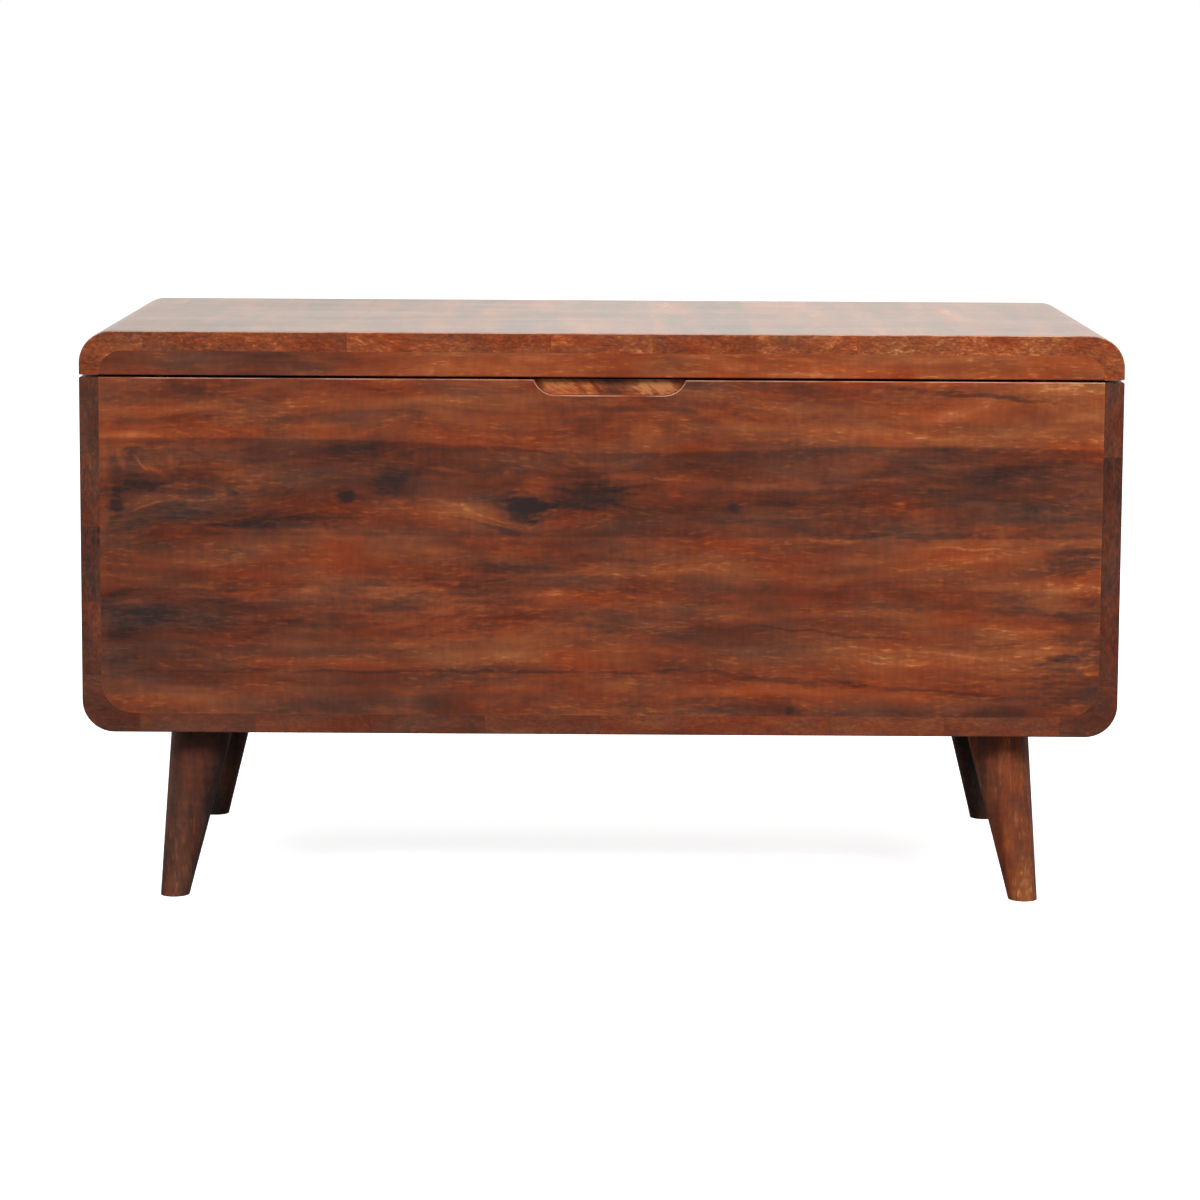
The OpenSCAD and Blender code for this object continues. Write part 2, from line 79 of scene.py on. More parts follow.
# Stain from the darkest tone to the palest, as screen colours
STAIN = [
    (0.00, (50, 36, 33)),
    (0.08, (63, 39, 34)),
    (0.15, (75, 43, 34)),
    (0.30, (91, 49, 35)),
    (0.45, (110, 56, 37)),
    (0.60, (132, 65, 38)),
    (0.75, (150, 76, 41)),
    (0.88, (170, 90, 50)),
    (1.00, (200, 118, 68)),
]
DARKEST_SOFTNESS = 0.16
# Pale colour of the upward eased edges: partly stain rubbed through, partly a painted highlight
WORN_EDGE_AND_HIGHLIGHT = (206, 168, 146)
WORN_AND_HIGHLIGHT_SHARE = 0.75
# A polish, with what it adds to the tone of a board's face
Polish = namedtuple("Polish", "roughness uneven specular relief face_tone")
SATIN = Polish(0.34, 0.20, 0.30, 0.06, 0.0)
GLOSSY = Polish(0.22, 0.12, 0.46, 0.02, -0.16)
TURNED = Polish(0.46, 0.10, 0.18, 0.05, 0.0)
RELIEF_HEIGHT = 0.0003

# Noise, by the lengths of its waves along the three axes of the place, in millimetres
Waves = namedtuple("Waves", "lengths detail", defaults=[2.0])
NOISE_ROUGHNESS = 0.55
# Figure of the wood, whose first axis is along the grain
FIGURE_WAVES = {
    "clouds": Waves((300, 60, 60), 1.0),
    "bands": Waves((260, 20, 20)),
    "blotches": Waves((44, 13, 13)),
    "streaks": Waves((36, 4.5, 4.5)),
    "dashes": Waves((7, 2.6, 2.6), 1.0),
    "fibres": Waves((9, 1.2, 1.2)),
    "rays": Waves((5, 18, 18)),
}
# How strongly each shows in the tone, in the same order
Figure = namedtuple("Figure", [*FIGURE_WAVES, "flecks"])
FACE_FIGURE = Figure(0.75, 0.75, 0.60, 0.26, 0.17, 0.05, 0.23, 0.19)
END_FIGURE = Figure(0.35, 0.40, 0.45, 0.40, 0.50, 0.72, 0.0, 0.14)
SWAY_WAVES = Waves((220, 60, 60))
SWAY = (0, 24, 24)
FLECK_WAVES = Waves((11, 2.4, 2.4), 1.0)
FLECK_STEP = (0.52, 0.74)
FLECK_AREA_WAVES = Waves((90, 22, 22))
FLECK_AREA_STEP = (0.38, 0.58)
FLECK_GREENER = 0.10
HUE_WAVES = Waves((90, 24, 24), 4.0)
HUE_GREEN = 1.5
HUE_BLUE = 2.3
PORE_WAVES = Waves((10, 0.8, 0.8), 0.0)
PORE_STEP = (0.62, 0.74)
PORE_DARKER = 0.05
PORE_DEPTH = 0.6
# Eased edges and lacquer. The upward eased edges are painted lighter and paler, partly as wear of the
# stain and partly as a painted highlight.
EDGE_SIZE = 0.8
EDGE_FACING_UP = (0.15, 0.45)
EDGE_WEAR_AND_HIGHLIGHT_LIGHTER = 0.12
WORN_AND_HIGHLIGHT_WAVES = Waves((50, 50, 50), 4.0)
WORN_AND_HIGHLIGHT_STEP = (0.36, 0.56)
SMEAR_WAVES = Waves((220, 60, 60), 3.0)


def linear(screen):
    """Linear colour of a screen colour given in steps of 255."""
    def one(step):
        share = step / 255
        return share / 12.92 if share <= 0.04045 else ((share + 0.055) / 1.055) ** 2.4
    return tuple(one(step) for step in screen) + (1.0,)


class Recipe:
    """A shader node tree written as sums, where a value is a socket or a plain number."""

    def __init__(self, tree):
        self.tree = tree

    def feed(self, socket, value):
        if isinstance(value, bpy.types.NodeSocket):
            self.tree.links.new(value, socket)
        else:
            socket.default_value = value

    def node(self, kind, inputs, **settings):
        made = self.tree.nodes.new("ShaderNode" + kind)
        for name, value in settings.items():
            setattr(made, name, value)
        for key, value in inputs.items():
            self.feed(made.inputs[key], value)
        return made

    def math(self, operation, *values):
        return self.node("Math", dict(enumerate(values)), operation=operation).outputs[0]

    def add(self, *values):
        total = values[0]
        for value in values[1:]:
            total = self.math("ADD", total, value)
        return total

    def times(self, *values):
        total = values[0]
        for value in values[1:]:
            total = self.math("MULTIPLY", total, value)
        return total

    def swing(self, value, amount, middle=0.5):
        """The value about its middle, times an amount."""
        return self.math("MULTIPLY_ADD", value, amount, -middle * amount)

    def blend(self, start, end, share):
        """From start, where the share is 0, to end, where it is 1."""
        return self.math("MULTIPLY_ADD", share, self.math("SUBTRACT", end, start), start)

    def vector(self, operation, *values):
        made = self.node("VectorMath", dict(enumerate(values)), operation=operation)
        return made.outputs["Value" if operation in ("LENGTH", "DOT_PRODUCT") else "Vector"]

    def split(self, place):
        return self.node("SeparateXYZ", {0: place}).outputs

    def join(self, x, y, z):
        return self.node("CombineXYZ", {0: x, 1: y, 2: z}).outputs[0]

    def noise(self, place, waves, output=0):
        """Noise from 0 to 1, as one value or, from output 1, as three."""
        inputs = {
            "Vector": self.vector("DIVIDE", place, waves.lengths),
            "Scale": 1.0,
            "Detail": waves.detail,
            "Roughness": NOISE_ROUGHNESS,
        }
        return self.node("TexNoise", inputs).outputs[output]

    def sway(self, place, waves, reach):
        """Place moved by noise, by up to half the reach either way."""
        push = self.vector("SUBTRACT", self.noise(place, waves, output=1), (0.5, 0.5, 0.5))
        return self.vector("MULTIPLY_ADD", push, reach, place)

    def step(self, value, start, end):
        """0 up to start and 1 from end, with a smooth change between them."""
        inputs = {"Value": value, "From Min": start, "From Max": end}
        return self.node("MapRange", inputs, interpolation_type="SMOOTHSTEP").outputs[0]

    def window(self, value, low, high, soft):
        """1 between low and high, and 0 outside, with soft ends."""
        rise = self.step(value, low - soft, low + soft)
        return self.times(rise, self.step(value, high + soft, high - soft))

    def curve(self, value, points):
        """Smooth curve through points whose coordinates are from 0 to 1."""
        made = self.node("FloatCurve", {"Value": value})
        line = made.mapping.curves[0]
        line.points[0].location = points[0]
        line.points[1].location = points[-1]
        for point in points[1:-1]:
            line.points.new(*point)
        made.mapping.update()
        return made.outputs[0]

    def ramp(self, value, stops):
        made = self.node("ValToRGB", {"Fac": value})
        elements = made.color_ramp.elements
        while len(elements) < len(stops):
            elements.new(1.0)
        for element, (position, screen) in zip(elements, stops):
            element.position = position
            element.color = linear(screen)
        return made.outputs["Color"]

    def tint(self, start, end, share):
        """Colour from start to end by the share, on the Mix node's colour sockets."""
        return self.node("Mix", {0: share, 6: start, 7: end}, data_type="RGBA").outputs[2]

    def object_place(self):
        """Place on the part at rest, in millimetres."""
        place = self.node("TexCoord", {}).outputs["Object"]
        return self.vector("MULTIPLY", place, (MM, MM, MM))

    def object_normal(self):
        return self.split(self.node("TexCoord", {}).outputs["Normal"])

    def ordered_place(self, axes):
        """Place with its axes in the given order, the grain's direction first."""
        parts = self.split(self.object_place())
        return self.join(*(parts["xyz".index(axis)] for axis in axes))

    def shifted_place(self, axes, shift, seed):
        """Ordered place that no other seed shares, so that its figure differs."""
        return self.vector("ADD", self.ordered_place(axes), tuple(part * seed for part in shift))


def new_material(name):
    material = bpy.data.materials.new(name)
    material.use_nodes = True
    return material, Recipe(material.node_tree), material.node_tree.nodes["Principled BSDF"]


Grain = namedtuple("Grain", ["place", *FIGURE_WAVES, "flecks", "hue"])


def wood_grain(r, place):
    """Figure of a board whose grain runs along the first axis of the place."""
    place = r.sway(place, SWAY_WAVES, SWAY)
    figure = {name: r.noise(place, waves) for name, waves in FIGURE_WAVES.items()}
    flecks = r.step(r.noise(place, FLECK_WAVES), *FLECK_STEP)
    areas = r.step(r.noise(place, FLECK_AREA_WAVES), *FLECK_AREA_STEP)
    return Grain(place=place, flecks=r.times(flecks, areas), hue=r.noise(place, HUE_WAVES), **figure)


def grain_tone(r, grain, figure, amount=1.0):
    """Tone that the grain adds to its board."""
    tones = [r.swing(getattr(grain, name), getattr(figure, name) * amount) for name in FIGURE_WAVES]
    return r.add(*tones, r.times(grain.flecks, figure.flecks * amount))


def less_red(r, grain, amount):
    """The grain with more green and blue in its stain."""
    return grain._replace(hue=r.add(grain.hue, amount))


def eased_edges(r):
    """1 on the outer half of the eased edges at the front and back that face up, where wear and a painted
    highlight go.
    """
    normal = r.object_normal()
    # 4 a (1 - a), where a is the square of the normal's y, is 1 at 45 degrees and 0 on a flat face
    across = r.math("POWER", normal[1], 2.0)
    slanted = r.times(across, r.math("SUBTRACT", 1.0, across), 4.0)
    depth = r.math("ABSOLUTE", r.split(r.object_place())[1])
    outer = r.step(depth, HALF_DEPTH - EDGE_SIZE, HALF_DEPTH - EDGE_SIZE / 2)
    return r.times(slanted, outer, r.step(normal[2], *EDGE_FACING_UP))


def pores(r, grain):
    """Short dark pores along the grain, which are dots on the ends of the boards."""
    return r.step(r.noise(grain.place, PORE_WAVES), *PORE_STEP)


def finish_wood(r, shader, grain, tone, polish=SATIN):
    """Stain, lacquer, edges lighter from wear and a painted highlight, and fine relief over the figure.
    """
    pore = pores(r, grain)
    edge = eased_edges(r)
    # Upward eased edges get a lighter tone and a pale colour, partly wear and partly a painted highlight
    worn_and_highlight = r.times(edge, r.step(r.noise(r.object_place(), WORN_AND_HIGHLIGHT_WAVES), *WORN_AND_HIGHLIGHT_STEP))
    tone = r.math("MULTIPLY_ADD", pore, -PORE_DARKER, tone)
    tone = r.math("MULTIPLY_ADD", edge, EDGE_WEAR_AND_HIGHLIGHT_LIGHTER, tone)
    tone = r.math("SMOOTH_MAX", tone, 0.0, DARKEST_SOFTNESS)
    green = r.add(r.swing(grain.hue, HUE_GREEN), r.times(grain.flecks, FLECK_GREENER), 1.0)
    blue = r.add(r.swing(grain.hue, HUE_BLUE), 1.0)
    colour = r.vector("MULTIPLY", r.ramp(tone, STAIN), r.join(1.0, green, blue))
    colour = r.tint(colour, linear(WORN_EDGE_AND_HIGHLIGHT), r.times(worn_and_highlight, WORN_AND_HIGHLIGHT_SHARE))
    r.feed(shader.inputs["Base Color"], colour)
    smears = r.noise(r.object_place(), SMEAR_WAVES)
    r.feed(shader.inputs["Roughness"], r.add(polish.roughness, r.swing(smears, polish.uneven)))
    shader.inputs["Specular IOR Level"].default_value = polish.specular
    height = r.add(grain.fibres, grain.dashes, r.times(pore, -PORE_DEPTH))
    bump = r.node("Bump", {"Strength": polish.relief, "Distance": RELIEF_HEIGHT, "Height": height})
    r.feed(shader.inputs["Normal"], bump.outputs[0])


# Boards, whose axes are named from the grain's to the board's thickness
Board = namedtuple("Board", "node axes tone seed figure seam polish")
BOARD_SHIFT = (311.0, 97.0, 53.0)
END_STEP = (0.2, 0.4)
END_STRETCH = 2.8
SEAM_WIDTH = 0.8


def seam_lines(r, value, low, high):
    """1 on the thin line at both sides of a board."""
    near_low = r.math("SUBTRACT", value, low)
    near_high = r.math("SUBTRACT", high, value)
    return r.step(r.math("MINIMUM", near_low, near_high), SEAM_WIDTH, 0.0)


def board_material(board):
    """Finish of one board, with end grain on its ends."""
    material, r, shader = new_material(board.node)
    along, across = ("xyz".index(axis) for axis in board.axes[:2])
    end = r.step(r.math("ABSOLUTE", r.object_normal()[along]), *END_STEP)
    place = r.shifted_place(board.axes, BOARD_SHIFT, board.seed)
    place = r.vector("DIVIDE", place, r.join(1.0, r.blend(1.0, END_STRETCH, end), 1.0))
    grain = wood_grain(r, place)
    face_tone = r.add(grain_tone(r, grain, FACE_FIGURE, board.figure), board.polish.face_tone)
    end_tone = grain_tone(r, grain, END_FIGURE, board.figure)
    total = r.add(board.tone, r.blend(face_tone, end_tone, end))
    if board.seam:
        low, high = (corner[across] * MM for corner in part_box(board.node))
        seam = seam_lines(r, r.split(r.object_place())[across], low, high)
        total = r.math("MULTIPLY_ADD", seam, -board.seam, total)
    finish_wood(r, shader, grain, total, board.polish)
    return material


# The front, in millimetres from the middle of the chest and from the floor
PLANK_TONE = {"upper": 0.57, "middle": 0.35, "lower": 0.50}
# Painted light: the front grows brighter towards the right, where the light is stronger
RIGHT_PAINTED_BRIGHTER = 0.15
LOWER_PLANK_TOP = (325.0, 322.0)
# Height of the colour line over the middle plank, from the left end of the chest to its right end
COLOUR_LINE = [(0, 0.62), (0.24, 0.62), (0.38, 0.5), (0.5, 0.31), (0.62, 0.38), (0.76, 0.5), (1, 0.44)]
COLOUR_LINE_LOWEST = 386
COLOUR_LINE_RISE = 34
COLOUR_LINE_SOFTNESS = 1.5
# Painted highlight on the line round the panel
PANEL_RADIUS = 28
PANEL_SEAM_DEPTHS = (1.6, 0.2)
PANEL_SEAM_HIGHLIGHT = 0.07
# Knots, which bend the grain round them
Knot = namedtuple("Knot", "x z radius")
KNOT_STRETCH = 1.6
KNOT_REACH = 1.2
KNOT_PUSH = 1.1
KNOTS = [
    Knot(-418, 349, 8),
    Knot(-403, 395, 4),
    Knot(-217, 359, 7),
    Knot(-159, 393, 4),
    Knot(-62, 350, 12),
    Knot(-24, 390, 4),
    Knot(95, 372, 4),
    Knot(115, 349, 4),
    Knot(165, 173, 4),
    Knot(-428, 280, 5),
]
# Patches of the figure, lighter or darker than the plank by their tone
Stroke = namedtuple("Stroke", "x z length height tilt tone")
STROKE_STEP = (1.5, 0.35)
STROKE_REACH = 1.6
STROKE_SWAY_WAVES = Waves((30, 12, 12))
STROKE_SWAY = (0, 10, 0)
RAGGED = {"streaks": 1.8, "blotches": 1.4, "dashes": 1.0}
STROKES = [
    Stroke(-402, 411, 30, 7, 0, 0.15),
    Stroke(-137, 430, 80, 14, -3, 0.08),
    Stroke(38, 414, 14, 10, -20, 0.16),
    Stroke(199, 414, 36, 7, 0, 0.12),
    Stroke(305, 426, 40, 9, 3, 0.10),
    Stroke(411, 427, 26, 6, 0, 0.04),
    Stroke(75, 408, 60, 12, 0, 0.08),
    Stroke(-429, 368, 5, 40, 0, 0.20),
    Stroke(-430, 262, 3, 76, 0, 0.08),
    Stroke(-415, 390, 3, 9, 20, 0.18),
    Stroke(-397, 386, 11, 1.3, -46, 0.26),
    Stroke(-385, 380, 12, 2.6, -30, 0.24),
    Stroke(-371, 389, 4, 4, 0, 0.14),
    Stroke(-392, 355, 20, 5, 16, 0.16),
    Stroke(-392, 350, 20, 1.2, 18, 0.26),
    Stroke(-328, 360, 5, 2.4, 0, 0.22),
    Stroke(-316, 379, 34, 5, -2, 0.12),
    Stroke(-216, 350, 8, 2.4, 0, 0.18),
    Stroke(-176, 355, 10, 3, 0, 0.20),
    Stroke(-139, 362, 22, 6, 0, 0.16),
    Stroke(-132, 381, 17, 1.5, -6, 0.22),
    Stroke(-122, 343, 44, 11, -8, 0.20),
    Stroke(-130, 351, 20, 1.5, -11, 0.14),
    Stroke(-92, 338, 22, 1.6, -20, 0.16),
    Stroke(-56, 369, 13, 7, 0, 0.20),
    Stroke(-22, 333, 30, 8, 8, 0.12),
    Stroke(22, 377, 15, 4, 0, 0.22),
    Stroke(61, 374, 14, 1.2, 0, 0.18),
    Stroke(63, 361, 5, 4, 0, 0.18),
    Stroke(258, 354, 5, 2, 0, 0.26),
    Stroke(201, 321, 16, 2, 0, 0.25),
    Stroke(321, 315, 40, 2, 0, 0.22),
    Stroke(316, 304, 80, 5, 8, 0.16),
    Stroke(-284, 304, 110, 14, 0, 0.10),
    Stroke(-407, 282, 30, 9, 0, 0.10),
    Stroke(-235, 205, 80, 22, 0, 0.06),
    Stroke(205, 285, 90, 26, 0, 0.07),
    Stroke(-152, 214, 150, 8, 1, 0.20),
    Stroke(222, 230, 88, 13, -7, 0.22),
    Stroke(200, 202, 90, 24, 0, 0.12),
    Stroke(300, 222, 100, 1.2, -4, 0.11),
    Stroke(-372, 181, 60, 8, 0, 0.18),
    Stroke(400, 282, 26, 7, 0, 0.14),
    Stroke(338, 199, 36, 2, -4, 0.14),
    Stroke(409, 368, 30, 6, 0, 0.10),
    Stroke(65, 434, 40, 5, -18, -0.14),
    Stroke(339, 446, 70, 2, -5, -0.28),
    Stroke(-390, 366, 20, 4, 3, -0.24),
    Stroke(-404, 395, 8, 6, 0, -0.20),
    Stroke(-363, 382, 4, 8, 0, -0.14),
    Stroke(-357, 360, 15, 14, 0, -0.10),
    Stroke(-418, 348, 7, 7, 0, -0.36),
    Stroke(-279, 333, 52, 5, -2, -0.20),
    Stroke(-218, 359, 10, 6, 0, -0.32),
    Stroke(-181, 366, 18, 10, 0, -0.13),
    Stroke(-94, 331, 26, 2.2, -14, -0.20),
    Stroke(-67, 349, 23, 10, -8, -0.34),
    Stroke(-16, 357, 40, 10, 6, -0.23),
    Stroke(-66, 341, 13, 8, 12, -0.22),
    Stroke(-14, 378, 20, 8, -20, -0.12),
    Stroke(116, 350, 7, 4, 0, -0.20),
    Stroke(122, 352, 5, 1.6, 20, 0.24),
    Stroke(157, 360, 22, 9, 0, -0.10),
    Stroke(330, 360, 100, 24, 0, -0.09),
    Stroke(286, 326, 76, 3, 0, -0.18),
    Stroke(-395, 300, 60, 44, 0, -0.06),
    Stroke(-385, 360, 70, 34, 0, -0.11),
    Stroke(-380, 428, 110, 20, 0, -0.06),
    Stroke(-272, 262, 170, 16, 3, -0.11),
    Stroke(-70, 272, 80, 26, 0, -0.09),
    Stroke(412, 306, 24, 12, 0, -0.24),
    Stroke(352, 266, 18, 10, 0, -0.12),
    Stroke(416, 242, 26, 24, 0, -0.24),
    Stroke(418, 198, 34, 18, 0, -0.24),
    Stroke(196, 241, 70, 1.4, -5, -0.20),
    Stroke(168, 198, 68, 3.2, -5, -0.20),
    Stroke(280, 190, 54, 1.8, -3, -0.22),
    Stroke(130, 174, 44, 7, 0, -0.14),
    Stroke(165, 172, 5, 3, 40, -0.15),
    Stroke(175, 177, 9, 3, 0, 0.16),
    Stroke(-136, 205, 230, 1.2, 0.3, -0.20),
]
# The finger pull, a raw cut whose back wall has its own patches, painted shade at both ends and slanted
# saw lines. Its wall and floor are measured from the back and the bottom of its opening.
PULLED_PLANK = "front_plank_upper"
PULL_WALL = (-1.0, 2.0)
PULL_WALL_SOFTNESS = 0.5
PULL_FLOOR = (-3.0, -2.0)
PULL_TONE = 0.86
PULL_LESS_RED = 0.13
PULL_RAGGED = 0.5
PULL_STROKES = [
    Stroke(-42, 453, 12, 9, -12, 0.10),
    Stroke(14, 455, 15, 12, 0, -0.50),
    # Painted shade: the two dark patches at the ends of the cut
    Stroke(-57, 456, 6, 5, -50, -0.28),
    Stroke(65, 456, 5, 5, 50, -0.30),
    Stroke(50, 452, 16, 9, 0, 0.12),
    Stroke(44, 451, 1.6, 9, 40, -0.26),
    Stroke(-4, 452, 1.6, 12, 40, -0.24),
    Stroke(-18, 452, 1.6, 12, 45, -0.16),
]
SAW_WAVES = Waves((2.4, 7, 1), 4.0)
SAW_SLANT = 1.5
SAW_SWING = 0.9


def share_along(r, x):
    """0 at the left end of the chest and 1 at its right end."""
    return r.math("MULTIPLY_ADD", x, 1 / CHEST_WIDTH, 0.5)


def knotted_place(r, place):
    """Place on the front whose second axis bends round the knots, as the grain does."""
    x, height, depth = r.split(place)
    flat = r.join(x, height, 0.0)
    for knot in KNOTS:
        inputs = {
            "Vector": flat,
            "Location": (knot.x, knot.z, 0),
            "Scale": (knot.radius * KNOT_STRETCH, knot.radius, 1),
        }
        local = r.node("Mapping", inputs, vector_type="TEXTURE").outputs[0]
        reach = r.add(r.vector("DOT_PRODUCT", local, local), KNOT_REACH)
        push = r.math("DIVIDE", r.split(local)[1], reach)
        height = r.math("MULTIPLY_ADD", push, -KNOT_PUSH * knot.radius, height)
    return r.join(x, height, depth)


def ragged_ends(r, grain):
    """What the grain adds to the distance from a patch, so that its ends are ragged."""
    return r.add(*(r.swing(getattr(grain, name), amount) for name, amount in RAGGED.items()))


def stroke_tone(r, place, ragged, strokes):
    """Sum of soft patches, each an ellipse with ragged ends along the grain."""
    x, z = r.split(place)[:2]
    flat = r.join(x, z, 0.0)
    total = 0.0
    for stroke in strokes:
        inputs = {
            "Vector": flat,
            "Location": (stroke.x, stroke.z, 0),
            "Rotation": (0, 0, math.radians(stroke.tilt)),
            "Scale": (stroke.length, stroke.height, 1),
        }
        local = r.node("Mapping", inputs, vector_type="TEXTURE").outputs[0]
        mask = r.step(r.add(r.vector("LENGTH", local), ragged), *STROKE_STEP)
        total = r.math("MULTIPLY_ADD", mask, stroke.tone, total)
    return total


def strokes_on(node):
    """The strokes that reach a plank, as one material can't hold them all."""
    low, high = (corner.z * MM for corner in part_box(node))

    def reaches(stroke):
        rise = stroke.height + stroke.length * abs(math.sin(math.radians(stroke.tilt)))
        return low - STROKE_REACH * rise < stroke.z < high + STROKE_REACH * rise
    return [stroke for stroke in STROKES if reaches(stroke)]


def front_base_tone(r, place):
    """Tone of each plank, with the wavy colour line over the middle one, and painted light brightening it
    towards the right.
    """
    x, z = r.split(place)[:2]
    along = share_along(r, x)
    line = r.curve(along, COLOUR_LINE)
    line = r.math("MULTIPLY_ADD", line, COLOUR_LINE_RISE, COLOUR_LINE_LOWEST)
    upper = r.step(r.math("SUBTRACT", z, line), -COLOUR_LINE_SOFTNESS, COLOUR_LINE_SOFTNESS)
    lower = r.step(z, *LOWER_PLANK_TOP)
    tone = r.blend(PLANK_TONE["middle"], PLANK_TONE["upper"], upper)
    tone = r.blend(tone, PLANK_TONE["lower"], lower)
    # Painted light, brighter towards the right
    return r.add(tone, r.swing(along, RIGHT_PAINTED_BRIGHTER))


def panel_seam(r, place):
    """1 on the line where the front's panel meets the case, round its lower corners, where a painted
    highlight goes.
    """
    x, z = r.split(place)[:2]
    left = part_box("front_plank_lower")[0]
    side = r.math("ADD", r.math("ABSOLUTE", x), left.x * MM + PANEL_RADIUS)
    down = r.math("SUBTRACT", left.z * MM + PANEL_RADIUS, z)
    corner = r.join(r.math("MAXIMUM", side, 0.0), r.math("MAXIMUM", down, 0.0), 0.0)
    start, end = (PANEL_RADIUS - depth for depth in PANEL_SEAM_DEPTHS)
    return r.step(r.vector("LENGTH", corner), start, end)


def inside_pull(r, place):
    """1 on the back wall of the finger pull."""
    z, y = r.split(place)[1:]
    low, high = PULL_BOX
    near, far = (high[1] * MM + shift for shift in PULL_WALL)
    start, end = (low[2] * MM + shift for shift in PULL_FLOOR)
    return r.times(r.window(y, near, far, PULL_WALL_SOFTNESS), r.step(z, start, end))


def pull_tone(r, place, ragged):
    """Tone of the back wall of the finger pull, with painted shade at both its ends."""
    x, z = r.split(place)[:2]
    slanted = r.join(r.math("MULTIPLY_ADD", z, SAW_SLANT, x), z, 0.0)
    patches = stroke_tone(r, place, r.times(ragged, PULL_RAGGED), PULL_STROKES)
    return r.add(PULL_TONE, patches, r.swing(r.noise(slanted, SAW_WAVES), SAW_SWING))


def front_material(node):
    """Finish of a front plank, whose figure goes on over the joints."""
    material, r, shader = new_material(node)
    place = r.ordered_place("xzy")
    grain = wood_grain(r, knotted_place(r, place))
    ragged = ragged_ends(r, grain)
    wavy = r.sway(place, STROKE_SWAY_WAVES, STROKE_SWAY)
    front = r.add(front_base_tone(r, place), stroke_tone(r, wavy, ragged, strokes_on(node)))
    if node == PULLED_PLANK:
        inside = inside_pull(r, place)
        front = r.blend(front, pull_tone(r, place, ragged), inside)
        grain = less_red(r, grain, r.times(inside, PULL_LESS_RED))
    total = r.add(front, grain_tone(r, grain, FACE_FIGURE))
    # Painted highlight along the panel's seam
    total = r.math("MULTIPLY_ADD", panel_seam(r, place), PANEL_SEAM_HIGHLIGHT, total)
    finish_wood(r, shader, grain, total)
    return material


# Tone of the lid's front rail, from its left end to its right end
RAIL_TONES = [(0, 0.60), (0.11, 0.48), (0.27, 0.69), (0.42, 0.63), (0.58, 0.70), (0.73, 0.81),
              (0.89, 0.82), (1, 0.80)]
RAIL_SHIFT = (900.0, 40.0, 0.0)
RAIL_RAGGED = 160
RAIL_FIGURE = 0.8


def rail_material():
    """Finish of the lid's front rail, dark near its left end and bright at its right."""
    material, r, shader = new_material("lid_front_rail")
    place = r.ordered_place("xzy")
    grain = wood_grain(r, r.vector("ADD", place, RAIL_SHIFT))
    x = r.add(r.split(place)[0], r.swing(grain.streaks, RAIL_RAGGED))
    tone = r.curve(share_along(r, x), RAIL_TONES)
    finish_wood(r, shader, grain, r.add(tone, grain_tone(r, grain, FACE_FIGURE, RAIL_FIGURE)))
    return material


Leg = namedtuple("Leg", "tone less_red")
LEGS = {
    "leg_front_left": Leg(0.18, 0.12),
    "leg_front_right": Leg(0.47, 0.10),
    # Painted shade: the back legs get a darker, greyer tone because they stand in the shade of the case
    "leg_back_left": Leg(0.05, 0.30),
    "leg_back_right": Leg(0.05, 0.30),
}
LEG_SHIFT = (211.0, 67.0, 31.0)
LEG_FIGURE = 1.2
# Painted light: the legs' tops are painted lighter, lifting the shade that the case casts on them
LEG_PAINTED_LIGHT_HEIGHTS = (90.0, 140.0)
LEG_TOP_PAINTED_LIGHT = 0.14


def leg_material(node, leg, seed):
    """Finish of a turned leg, with its grain along the leg and painted light on its top."""
    material, r, shader = new_material(node)
    grain = less_red(r, wood_grain(r, r.shifted_place("zxy", LEG_SHIFT, seed)), leg.less_red)
    # Painted light on the top of the leg
    top_painted_light = r.step(r.split(r.object_place())[2], *LEG_PAINTED_LIGHT_HEIGHTS)
    tone = r.math("MULTIPLY_ADD", top_painted_light, LEG_TOP_PAINTED_LIGHT, leg.tone)
    finish_wood(r, shader, grain, r.add(tone, grain_tone(r, grain, FACE_FIGURE, LEG_FIGURE)), TURNED)
    return material


Metal = namedtuple("Metal", "screen roughness")
METALS = {
    "brass": Metal((196, 160, 98), 0.32),
    "steel": Metal((186, 186, 184), 0.38),
}
METAL_STAIN_WAVES = Waves((9, 9, 9), 4.0)
METAL_STAIN_STOPS = (0.3, 0.62)
METAL_STAIN_SHADE = 0.72
METAL_STAIN_ROUGH = 0.3
METAL_LINE_WAVES = Waves((18, 0.25, 0.25))
METAL_LINE_ROUGH = 0.2
METAL_RELIEF = 0.1
METAL_RELIEF_HEIGHT = 0.0001


def metal_material(name):
    """Rolled metal with a fine grain and faint stains."""
    material, r, shader = new_material(name)
    place = r.object_place()
    metal = METALS[name]
    stain = r.noise(place, METAL_STAIN_WAVES)
    lines = r.noise(place, METAL_LINE_WAVES)
    dark = tuple(round(step * METAL_STAIN_SHADE) for step in metal.screen)
    r.feed(shader.inputs["Base Color"], r.ramp(stain, list(zip(METAL_STAIN_STOPS, (dark, metal.screen)))))
    uneven = r.add(r.swing(stain, METAL_STAIN_ROUGH), r.swing(lines, METAL_LINE_ROUGH))
    r.feed(shader.inputs["Roughness"], r.add(metal.roughness, uneven))
    shader.inputs["Metallic"].default_value = 1.0
    inputs = {"Strength": METAL_RELIEF, "Distance": METAL_RELIEF_HEIGHT, "Height": lines}
    r.feed(shader.inputs["Normal"], r.node("Bump", inputs).outputs[0])
    return material


DUST_WAVES = Waves((2, 2, 2), 4.0)
RUBBER = [(0.35, (24, 22, 21)), (0.75, (58, 52, 48))]
RUBBER_ROUGHNESS = 0.7
DUST_ROUGH = 0.3


